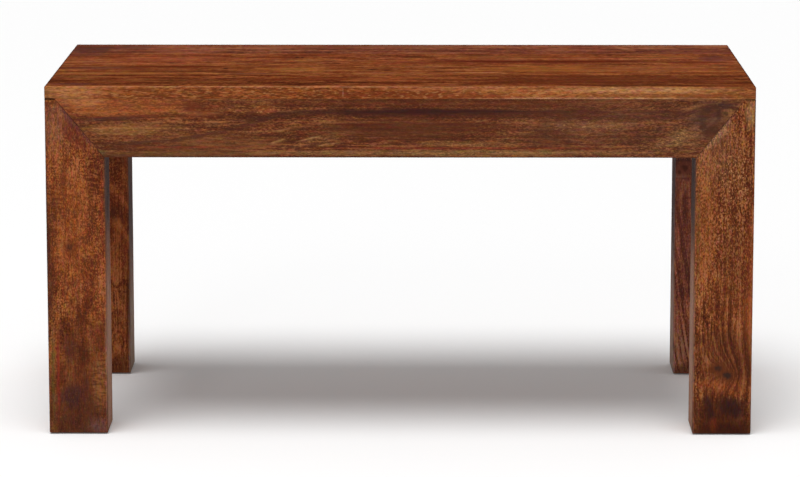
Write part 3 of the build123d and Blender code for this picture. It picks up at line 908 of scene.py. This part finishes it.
legFrontLeftStainsAndPaintedLight = [
    onFront(-437, 400, 26, 50, (142, 92, 66), 0.55),
    onFront(-420, 280, 45, 130, (150, 82, 42), 0.4),
    onFront(-412, 387, 40, 16, (92, 38, 28), 0.7, rise=-0.881),
    onFront(-388, 340, 18, 50, (84, 38, 20), 0.55, curl=1.4),
    onFront(-426.2, 338, 6, 30, (80, 38, 22), 0.5),
    onFront(-412, 50, 80, 160, (84, 44, 26), 0.7, flecks=-0.6),
    onFront(-412, 90, 80, 200, flecks=-0.5, sparks=-0.2),
    onFront(-412, 0, 80, 90, (62, 36, 27), 0.7),
    onFront(-449, 250, 8, 60, (48, 26, 24), 0.9),
    onFront(-447, 190, 10, 70, (62, 34, 26), 0.75),
    onFront(-442, 295, 14, 45, (72, 36, 22), 0.6, curl=1.8),
    onFront(-406.6, 396, 62, 1.8, (66, 38, 34), 0.3, rise=-mitreTilt, even=1.0),
    onFront(-426.2, 419.4, 26, 3, (84, 46, 38), 0.5, rise=-mitreTilt, even=1.0),
    onFront(-396, 381.5, 16, 6, (98, 54, 56), 0.45, rise=-mitreTilt),
    onFront(-417, 406.5, 34, 8, (92, 52, 52), 0.55, rise=-mitreTilt),
    # painted shadow in the gap under the seat at the top of the leg
    onFront(-450, 433.6, 30, 2.2, (26, 6, 3), 0.95, even=1.0),
    # painted shade along the leg's outer front arris
    onFront(-450, 300, 2.6, 300, (58, 40, 36), 0.75, deep=3, even=0.9, ragged=0.4),
    onFront(-379, 290, 3, 80, (124, 46, 34), 0.6),
    onFront(-444, 80, 3.5, 90, (88, 76, 36), 0.6),
    onFront(-437.5, 80, 3, 80, (126, 38, 30), 0.7),
    onFront(-420, 50, 20, 22, (54, 30, 32), 0.8),
    onFront(-404, 62, 6, 40, (66, 34, 30), 0.5),
    onFront(-422.5, 110, 12, 22, (66, 36, 30), 0.7),
    onFront(-384, 66, 14, 45, (134, 86, 50), 0.6, curl=2.0),
    onFront(-386, 12, 20, 14, (116, 78, 72), 0.5),
    # painted shade above and painted bounce light below on the inner side
    *paintedSideShadeAndBounce(-375, -180),
]
legFrontLeftWood = {
    "grain": "z", "seed": 5.3, "pith": (0, 30, -60), "lean": (0, 0.05, 0), "spacing": 9, "wander": 20,
    "wanderLength": 250, "waviness": 5, "hueSize": (7, 2.2), "hue": 0.6, "rings": 0.25, "bands": 0.3,
    "streaks": 0.5, "flecks": 1.6, "mottle": 0.6, "curl": 0.4, "specks": 0.4,
    "streakSize": (30, 1.8), "fleckSize": (2.6, 1.5), "mottleSize": (30, 16),
    "dark": (58, 26, 16), "deep": (96, 47, 24), "main": (125, 66, 33), "light": (174, 108, 60),
    "tint": (112, 52, 28), "knot": (42, 27, 27), "patches": legFrontLeftStainsAndPaintedLight,
    "knots": [
        knotOn(onFront, -421, 243.5, 5.5, 6, pull=10, halo=0.5, core=0.5),
    ],
}

legFrontRightStainsAndPaintedLight = [
    onFront(400, 370, 40, 70, (146, 98, 66), 0.4),
    onFront(388, 270, 20, 120, (146, 83, 42), 0.4),
    onFront(379.5, 260, 3, 100, (92, 70, 36), 0.5),
    onFront(425, 335, 26, 60, (84, 46, 26), 0.5, sparks=0.9),
    onFront(425, 230, 24, 100, (90, 50, 27), 0.42),
    onFront(446, 220, 8, 160, (128, 62, 34), 0.5),
    onFront(443, 155, 9, 50, (150, 80, 42), 0.5),
    onFront(444, 415, 10, 26, (176, 128, 84), 0.75),
    onFront(412, 120, 80, 130, flecks=-1.1, curl=-0.2, rings=0.3, sparks=-0.2),
    onFront(420, 100, 70, 60, (86, 44, 26), 0.75, flecks=-0.4, rings=0.6),
    onFront(412, 62, 50, 16, (146, 72, 38), 0.45),
    onFront(410, 12, 90, 60, (68, 33, 19), 0.95, flecks=-0.8, sparks=-0.3, even=0.8),
    onFront(397, 32, 9, 34, (44, 24, 25), 0.85, rise=0.2),
    onFront(426, 36, 26, 18, (38, 22, 24), 0.9, rise=-0.3),
    onFront(420, 4, 50, 16, (46, 20, 16), 0.8),
    onFront(402, 14, 8, 14, (112, 46, 24), 0.6),
    onFront(403, 389, 34, 9, (164, 134, 106), 0.35, rise=mitreTilt, sparks=0.8, curl=1.0),
    onFront(406.6, 396, 60, 1.1, (62, 40, 34), 0.6, rise=mitreTilt, even=1.0),
    # painted shadow in the gap under the seat at the top of the leg
    onFront(450, 433.6, 30, 2, (30, 16, 12), 0.85, even=1.0),
    # painted shade along the leg's outer front arris
    onFront(450, 400, 2.6, 100, (54, 38, 28), 0.8, deep=3, even=0.9, ragged=0.4),
    # painted shade above and painted bounce light below on the inner side
    *paintedSideShadeAndBounce(375, -180),
]
legFrontRightWood = {
    "grain": "z", "seed": 8.8, "pith": (0, -20, -70), "lean": (0, 0.02, 0), "spacing": 8, "wander": 18,
    "wanderLength": 300, "waviness": 4, "hueSize": (7, 2.2), "hue": 0.65, "rings": 0.4, "bands": 0.3,
    "streaks": 0.8, "flecks": 1.9, "mottle": 0.5, "curl": 0.4, "spark": (180, 124, 80), "specks": 0.45,
    "streakSize": (40, 2.2), "fleckSize": (3, 1.5), "mottleSize": (35, 14),
    "dark": (50, 24, 15), "deep": (90, 45, 24), "main": (118, 63, 32), "light": (178, 114, 70),
    "tint": (114, 52, 28), "knot": (44, 34, 30), "patches": legFrontRightStainsAndPaintedLight,
    "knots": [
        knotOn(onFront, 407.5, 86.5, 6.8, 5.5, pull=20, halo=0.8, core=0.75),
        knotOn(onFront, 418.8, 77.6, 7.5, 6, pull=20, halo=0.7),
    ],
}

legRearLeftStainsAndPaintedLight = [
    onRearLeg(-392, 275, 20, 50, flecks=0.7, curl=0.6),
    onRearLeg(-388, 300, 30, 20, (70, 34, 22), 0.5),
    onRearLeg(-394.5, 226, 12, 18, (54, 27, 22), 0.8),
    onRearLeg(-390.5, 200, 5, 30, (158, 88, 44), 0.6),
    onRearLeg(-382, 270, 4, 40, (150, 84, 44), 0.45),
    onRearLeg(-377, 90, 6, 90, (54, 29, 20), 0.85),
    onRearLeg(-388, 8, 30, 30, (64, 31, 20), 0.7),
    # painted shade above and painted bounce light below on the inner side
    *paintedSideShadeAndBounce(-375, 190, 240, 180, 20, (166, 146, 130)),
]
legRearLeftWood = {
    "grain": "z", "seed": 14.2, "pith": (0, 10, -19), "lean": (0, 0.13, 0), "spacing": 4.5, "wander": 14,
    "wanderLength": 200, "rings": 0.8, "bands": 0.15, "streaks": 1.1, "flecks": 0.9, "curl": 0.15,
    "streakSize": (50, 1.5), "fleckSize": (3, 1.4), "hueSize": (7, 2.4), "hue": 0.5, "specks": 0.4,
    "dark": (66, 31, 18), "deep": (104, 53, 29), "main": (136, 73, 39), "light": (170, 102, 58),
    "tint": (118, 54, 31), "knot": (40, 22, 18), "patches": legRearLeftStainsAndPaintedLight,
    "knots": [
        knotOn(onRearLeg, -393.5, 135, 4, 12, pull=8, halo=0.0, core=0.0),
    ],
}

legRearRightStainsAndPaintedLight = [
    # a dark knot zone, made darker still as painted shade
    onRearLeg(387, 292, 30, 26, (42, 29, 29), 0.95, curl=1.2, flecks=0.8),
    onRearLeg(382, 278.5, 12, 4, (150, 106, 82), 0.7),
    onRearLeg(379, 255, 4, 30, (136, 80, 56), 0.55),
    onRearLeg(388.5, 235, 6, 35, (56, 31, 33), 0.6),
    onRearLeg(392, 160, 10, 40, (108, 66, 60), 0.3),
    onRearLeg(386, 35, 22, 45, (148, 108, 80), 0.55, rings=1.0, even=0.0),
    onRearLeg(390, 4, 30, 14, (58, 30, 24), 0.7),
    # painted shade above and painted bounce light below on the inner side
    *paintedSideShadeAndBounce(375, 190, 240, 180, 20, (166, 146, 130)),
]
legRearRightWood = {
    "grain": "z", "seed": 19.6, "pith": (0, -20, -50), "lean": (0, 0, 0.18), "spacing": 6, "wanderLength": 200,
    "rings": 0.65, "bands": 0.1, "flecks": 0.9, "mottle": 0.5, "curl": 0.3, "fleckSize": (3.5, 1.6),
    "hueSize": (7, 2.4), "hue": 0.6, "sparks": 0.35, "specks": 0.4,
    "dark": (82, 44, 35), "deep": (116, 63, 48), "main": (140, 78, 56), "light": (176, 112, 82),
    "tint": (116, 62, 48), "knot": (36, 22, 20), "patches": legRearRightStainsAndPaintedLight,
    "knots": [
        knotOn(onRearLeg, 387, 289, 7, 6, pull=20, halo=0.7, core=0.6),
        knotOn(onRearLeg, 380.5, 283, 3, 5, pull=10, halo=0.5, core=0.5),
    ],
}

legs = {
    "leg_front_left": ("frontLeftLeg", legFrontLeftWood, (1, 1, 1)),
    "leg_front_right": ("frontRightLeg", legFrontRightWood, (-1, 1, 1)),
    "leg_rear_left": ("rearLeftLeg", legRearLeftWood, (1, -1, 1)),
    "leg_rear_right": ("rearRightLeg", legRearRightWood, (-1, -1, 1)),
}


def cutHousing(leg, low, swapped, shape):
    # the slanted housing of one rail's tongue, in the leg's front face or, swapped, in its end face
    def lay(x, y, z):
        return Vector((y, x, z)) if swapped else Vector((x, y, z))

    overrun = legSide / 2
    wedgeLow = low - Vector((overrun, overrun, 0))
    wedgeHigh = low + lay(legSide + overrun, tongueDepth + shape["gap"], 0)
    wedgeLow.z = railBottom - overrun
    wedgeHigh.z = seatUnderside + overrun
    wedge = startBlock("housingWedge", wedgeLow, wedgeHigh)
    slant = lay(mitreRise, 0, mitreRun) / mitreLength
    run = lay(mitreRun, 0, -mitreRise) / mitreLength
    start = Vector((low.x + legSide, low.y + legSide, railBottom)) - slant * shape["gap"]
    cutAcross(wedge, start, -slant, dropOuter=True)
    bite = leg.modifiers.new("housing", "BOOLEAN")
    bite.operation = "DIFFERENCE"
    bite.solver = "EXACT"
    bite.object = wedge
    takeInHand(leg)
    bpy.ops.object.modifier_apply(modifier=bite.name)
    bpy.data.objects.remove(wedge)

    def mouthEdge(middle, direction):
        return abs(lay(*(middle - low)).y) < touching and abs(direction.dot(run)) > 0.99

    easeEdges(leg, shape["seam"], 1, mouthEdge)


def makeLegShape(shape):
    low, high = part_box("leg_front_left")
    leg = startBlock("legPattern", low, high)
    easeEdges(leg, shape["arris"], shape["rounds"], lambda middle, run: abs(run.z) > straight)
    easeEdges(leg, shape["foot"], 2, lambda middle, run: middle.z < low.z + near)
    for swapped in (False, True):
        cutHousing(leg, low, swapped, shape)
    return leg


def copyMirrored(pattern, name, flip):
    takeInHand(pattern)
    bpy.ops.object.duplicate(linked=False)
    piece = bpy.context.object
    piece.name = name
    piece.scale = flip
    bpy.ops.object.transform_apply(location=True, rotation=True, scale=True)
    bpy.ops.object.mode_set(mode="EDIT")
    bpy.ops.mesh.select_all(action="SELECT")
    bpy.ops.mesh.normals_make_consistent(inside=False)
    bpy.ops.object.mode_set(mode="OBJECT")
    return piece


legPattern = makeLegShape(legShape)
for node, (name, wood, flip) in legs.items():
    leg = copyMirrored(legPattern, name, flip)
    planeFaces(leg, "z")
    finishPiece(leg, node, wood)
bpy.data.objects.remove(legPattern)
print("legs made")

# Rails

railShape = {
    "arris": 1.5 * mm,
    "seam": 0.4 * mm,
    "rounds": 4,
}

railFrontStainsAndPaintedShade = [
    onFront(300, 395, 220, 60, (106, 70, 50), 0.35, flecks=0.25),
    onFront(-350, 424, 150, 22, (160, 86, 44), 0.7, flecks=0.9, rings=0.3),
    onFront(-250, 415, 40, 4, (172, 104, 60), 0.6),
    onFront(-340, 395, 90, 12, (158, 104, 60), 0.6, sparks=0.4),
    onFront(-262, 425, 25, 12, (84, 34, 22), 0.8),
    onFront(-240, 416, 30, 12, (90, 36, 22), 0.6),
    onFront(-172, 421, 22, 10, (164, 88, 44), 0.5, sparks=0.8, flecks=0.5),
    onFront(-240, 375, 130, 24, (114, 70, 42), 0.6, flecks=-0.4),
    onFront(0, 396, 160, 22, (82, 44, 27), 0.75, flecks=-0.4, sparks=-0.12),
    onFront(190, 390, 50, 20, (76, 42, 28), 0.6, flecks=-0.3),
    onFront(240, 400, 80, 10, (134, 90, 62), 0.4, sparks=0.45, flecks=0.4),
    # a darker band and line along the top of the rail: painted shade under the seat's front edge
    onFront(50, 428, 360, 8, (92, 44, 27), 0.7),
    onFront(50, 432.5, 360, 3, (64, 30, 18), 0.7),
    onFront(-400, 430, 40, 12, (178, 116, 70), 0.6),
    onFront(-366, 408.5, 60, 4.5, (64, 38, 34), 0.9, rise=0.04),
    onFront(-250, 401, 80, 2.5, (80, 44, 32), 0.6, rise=0.05),
    onFront(-320, 379, 75, 4, (72, 43, 32), 0.7, rise=0.06),
    onFront(-250, 387.5, 70, 4, (74, 42, 30), 0.75, rise=0.16),
    onFront(-200, 400, 60, 4, (70, 40, 30), 0.75, rise=0.22),
    onFront(-165, 411.5, 60, 5, (60, 34, 28), 0.85, rise=0.14),
    onFront(-120, 400, 60, 2.5, (132, 82, 46), 0.6, rise=0.2),
    onFront(-105, 381, 60, 8, (146, 100, 60), 0.3, rise=0.22, sparks=0.2, flecks=0.5),
    onFront(-155, 380, 13, 2.2, (176, 126, 78), 0.7, rise=0.25),
    onFront(-148, 394.8, 14, 1.8, (164, 108, 66), 0.6, rise=0.25),
    onFront(-116, 383.2, 20, 2, (172, 124, 80), 0.65, rise=0.22),
    onFront(-90, 376.5, 22, 1.8, (160, 112, 70), 0.6, rise=0.15),
    onFront(-40, 366, 30, 2.5, (148, 82, 42), 0.6, rise=0.13),
    onFront(80, 416.5, 340, 8, (68, 36, 27), 0.8, sparks=-0.2),
    onFront(20, 418, 240, 5.5, (50, 26, 25), 0.85, even=0.85),
    onFront(80, 402, 90, 3, (76, 34, 26), 0.7),
    onFront(-50, 401.5, 60, 2, (76, 30, 22), 0.7),
    onFront(310, 411, 100, 3.5, (84, 46, 38), 0.7, rise=-0.03),
    onFront(330, 417.5, 80, 4, (72, 38, 32), 0.7),
    onFront(340, 378, 35, 12, (136, 96, 66), 0.3, rise=0.4, sparks=0.6, flecks=0.4),
    onFront(-260, 372.5, 120, 2, (124, 50, 36), 0.6),
    onFront(-300, 364, 160, 5, (116, 80, 48), 0.6),
    onFront(80, 376.5, 100, 6, (150, 102, 58), 0.45, sparks=0.5, flecks=0.4),
    onFront(60, 365.5, 340, 5, (134, 102, 62), 0.6, sparks=0.5, flecks=0.4),
    onFront(100, 371.5, 280, 2, (126, 50, 34), 0.6),
    onFront(50, 371, 420, 16, streaks=0.9, sparks=-0.1),
    onFront(-385, 364.5, 20, 7, (100, 86, 58), 0.6),
    onFront(0, 359.5, 600, 2.2, (52, 31, 28), 0.75, even=0.9, ragged=0.4),
    onFront(-406.2, 396.4, 62, 1.8, (70, 44, 42), 0.25, rise=-mitreTilt, even=1.0),
    onFront(-424.5, 418.3, 26, 2, (80, 46, 38), 0.45, rise=-mitreTilt, even=1.0),
    onFront(406.2, 396.4, 60, 1.1, (62, 42, 38), 0.6, rise=mitreTilt, even=1.0),
    onFront(390, 410, 35, 30, (84, 60, 50), 0.75, rings=0.4, curl=0.6),
    onFront(405, 425, 30, 8, (50, 33, 36), 0.85, rise=0.1),
    onFront(382.5, 409, 7, 20, (60, 40, 34), 0.7, rise=0.1),
    onFront(389, 393, 11, 14, (54, 37, 34), 0.75, rise=0.5),
    onFront(403, 414.5, 5, 10, (46, 31, 28), 0.8),
    onFront(414.5, 416.5, 10, 7, (178, 124, 76), 0.75, curl=2.0),
    onFront(371, 422.5, 20, 3, (140, 92, 60), 0.6, rise=0.35),
    onFront(394, 404, 12, 3, (128, 92, 66), 0.5, rise=0.7),
    onFront(362, 386, 30, 18, (138, 98, 64), 0.35, sparks=0.5, flecks=0.5),
]
railLongWood = {
    "grain": "x", "seed": 31.4, "pith": (0, 20, 90), "wanderLength": 300, "waviness": 4, "hueSize": (14, 3),
    "hue": 0.45, "rings": 0.5, "bands": 0.35, "flecks": 1.05,
    "streakSize": (50, 2.4), "fleckSize": (4, 1.4), "mottleSize": (60, 12),
    "dark": (64, 32, 20), "deep": (86, 44, 26), "main": (112, 60, 34), "light": (146, 92, 54),
    "tint": (92, 46, 30), "knot": (40, 28, 24), "sparks": 0.15, "specks": 0.35, "wear": 0.15,
    "spark": (170, 120, 76),
}
railFrontWood = {
    **railLongWood, "seed": 2.7, "main": (106, 58, 33), "patches": railFrontStainsAndPaintedShade,
    "swells": [
        onFront(-400, 352, 300, 60, deep=100, ragged=0.2, lift=30),
        onFront(400, 410, 60, 30, deep=100, ragged=0.2, lift=8),
    ],
    "knots": [
        knotOn(onFront, 398, 395, 7, 8, pull=12, core=0.4),
        knotOn(onFront, 412, 416, 5, 4, pull=8, core=0.7),
        knotOn(onFront, 388, 420, 8, 5, pull=8, core=0.4),
    ],
}
railEndWood = {
    "grain": "y", "seed": 17.1, "pith": (0, 60, -40), "spacing": 8, "wander": 16, "wanderLength": 300,
    "waviness": 4, "flecks": 0.9, "sparks": 0.35, "specks": 0.35,
    "dark": (68, 34, 21), "deep": (92, 47, 27), "main": (114, 61, 34), "light": (148, 88, 50),
    "tint": (98, 50, 30), "knot": (40, 28, 24),
}

rails = {
    "rail_front": ("frontRail", railFrontWood, (1, 1, 1)),
    "rail_rear": ("rearRail", railLongWood, (1, -1, 1)),
    "rail_left": ("leftRail", railEndWood, (1, 1, 1)),
    "rail_right": ("rightRail", dict(railEndWood, seed=44.9, pith=(0, -50, 50)), (-1, 1, 1)),
}


def makeRailShape(node, shape, turned):
    low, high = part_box(node)
    if turned:
        low, high = Vector((low.y, low.x, low.z)), Vector((high.y, high.x, high.z))
    shoulder = high.x - mitreRun
    rail = startBlock("railPattern", low, (high.x, low.y + tongueDepth, high.z))
    for side in (-1, 1):
        cutAcross(rail, (side * shoulder, 0, low.z), (side * mitreRise, 0, -mitreRun), dropOuter=True)
    for side in (-1, 1):
        cutAcross(rail, (side * shoulder, 0, 0), (1, 0, 0))
    pickFaces(rail, lambda centre, normal: normal.y > straight and abs(centre.x) < shoulder)
    deepen = (0, railThickness - tongueDepth, 0)
    bpy.ops.mesh.extrude_region_move(TRANSFORM_OT_translate={"value": deepen})
    bpy.ops.object.mode_set(mode="OBJECT")
    easeEdges(rail, shape["arris"], shape["rounds"],
              lambda middle, run: middle.z < low.z + touching and abs(run.x) > straight)
    easeEdges(rail, shape["seam"], 1,
              lambda middle, run: middle.y < low.y + touching and abs(run.x) > 0.2 and middle.z > low.z + near / 2)
    if turned:
        rail.rotation_euler.z = -pi / 2
        bpy.ops.object.transform_apply(location=True, rotation=True, scale=True)
    return rail


for turned in (False, True):
    railPattern = makeRailShape("rail_left" if turned else "rail_front", railShape, turned)
    for node, (name, wood, flip) in rails.items():
        if (wood["grain"] == "y") == turned:
            rail = copyMirrored(railPattern, name, flip)
            planeFaces(rail, wood["grain"])
            finishPiece(rail, node, wood)
    bpy.data.objects.remove(railPattern)
print("rails made")

# Inner pieces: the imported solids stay, and get their finishes here

innerWood = {
    "seed": 51.3, "wander": 10, "wanderLength": 250, "rough": 0.72, "sheen": 0.1, "wear": 0.2,
    "dark": (92, 58, 38), "deep": (122, 82, 54), "main": (146, 102, 68), "light": (176, 130, 90),
    "tint": (134, 90, 60), "knot": (70, 45, 34),
}
innerGrains = {
    "centre_bearer": "y",
    "corner_brace_front_left": "falling",
    "corner_brace_front_right": "rising",
    "corner_brace_rear_left": "rising",
    "corner_brace_rear_right": "falling",
    "cleat_front_left": "x",
    "cleat_front_right": "x",
    "cleat_rear_left": "x",
    "cleat_rear_right": "x",
    "cleat_left_end": "y",
    "cleat_right_end": "y",
}
dowelWood = {
    **innerWood, "spacing": 2, "wander": 2, "dark": (150, 112, 74), "deep": (172, 134, 92),
    "main": (190, 152, 108), "light": (208, 172, 128), "tint": (184, 146, 100),
}
dowelGrains = {
    "rail_dowels_front_left": "y",
    "rail_dowels_front_right": "y",
    "rail_dowels_rear_left": "y",
    "rail_dowels_rear_right": "y",
}

# marks are scuffs on the plastic and dull spots on the zinc
glideFinish = {
    "name": "glidePlastic", "colour": (34, 31, 30), "mark": (84, 78, 74), "share": 0.35, "span": (0.52, 0.72),
    "marks": {"scale": 140.0, "detail": 4.0, "roughness": 0.65, "distortion": 0.8},
    "grit": 1800.0, "bump": 0.25, "bumpDepth": 0.1 * mm, "rough": (0.48, 0.68), "metal": 0.0,
}
screwFinish = {
    "name": "zincSteel", "colour": (176, 172, 160), "mark": (132, 118, 88), "share": 0.5, "span": (0.42, 0.68),
    "marks": {"scale": 320.0, "detail": 3.0, "roughness": 0.6},
    "grit": 2400.0, "bump": 0.2, "bumpDepth": 0.05 * mm, "rough": (0.32, 0.52), "metal": 1.0,
}


def makeFitting(finish):
    material, tree = newMaterial(finish["name"])
    place = newNode(tree, "ShaderNodeTexCoord").outputs["Object"]
    cloud = noise(tree, place, **finish["marks"])["Fac"]
    share = maths(tree, "MULTIPLY", remap(tree, cloud, *finish["span"]), finish["share"])
    colour = blendColour(tree, share, tone(*finish["colour"]), tone(*finish["mark"]))
    roughness = remap(tree, cloud, *figureSpan, *finish["rough"])
    grit = noise(tree, place, scale=finish["grit"])["Fac"]
    addSurface(tree, colour, roughness, grit, finish["bump"], finish["bumpDepth"], Metallic=finish["metal"])
    return material


for grains, wood, seedStep in ((innerGrains, innerWood, 3.7), (dowelGrains, dowelWood, 2.9)):
    for index, (node, grain) in enumerate(grains.items()):
        own = dict(wood, grain=grain, seed=wood["seed"] + seedStep * index)
        dress(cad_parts[node], makeWood(node + "Wood", own, *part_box(node)))
plastic = makeFitting(glideFinish)
steel = makeFitting(screwFinish)
for node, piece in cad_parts.items():
    if node.startswith("foot_glide"):
        dress(piece, plastic)
    elif node.endswith("_screws"):
        dress(piece, steel)
print("inner pieces dressed")
